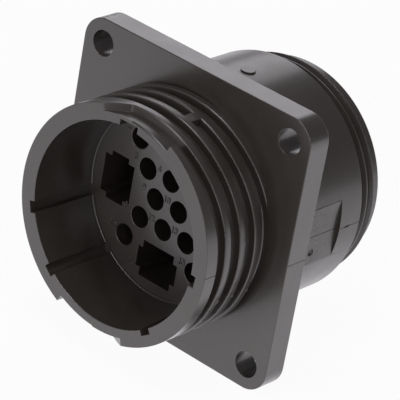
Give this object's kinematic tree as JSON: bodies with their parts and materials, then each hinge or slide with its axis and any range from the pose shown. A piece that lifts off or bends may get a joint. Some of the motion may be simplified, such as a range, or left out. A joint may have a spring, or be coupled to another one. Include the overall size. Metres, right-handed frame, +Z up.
{
  "type": "circular panel mount connector",
  "caption": "Moulded circular connector receptacle with a square mounting flange, a coarse coupling thread, keyed socket and an insert with round and power contact cavities.",
  "frame": {"origin": "centre of the flange's hole pattern, on the connector's axis, in the flange's front face", "axes": "+Y along the axis from the mating face to the rear, +X to the right as seen from the mating face, +Z up through the main keyway"},
  "size_m": [0.0424, 0.0386, 0.0424],
  "materials": {
    "housing": "moulded satin black thermoplastic"
  },
  "bodies": {
    "root": {"receptacle_housing": "housing"}
  },
  "joints": []
}
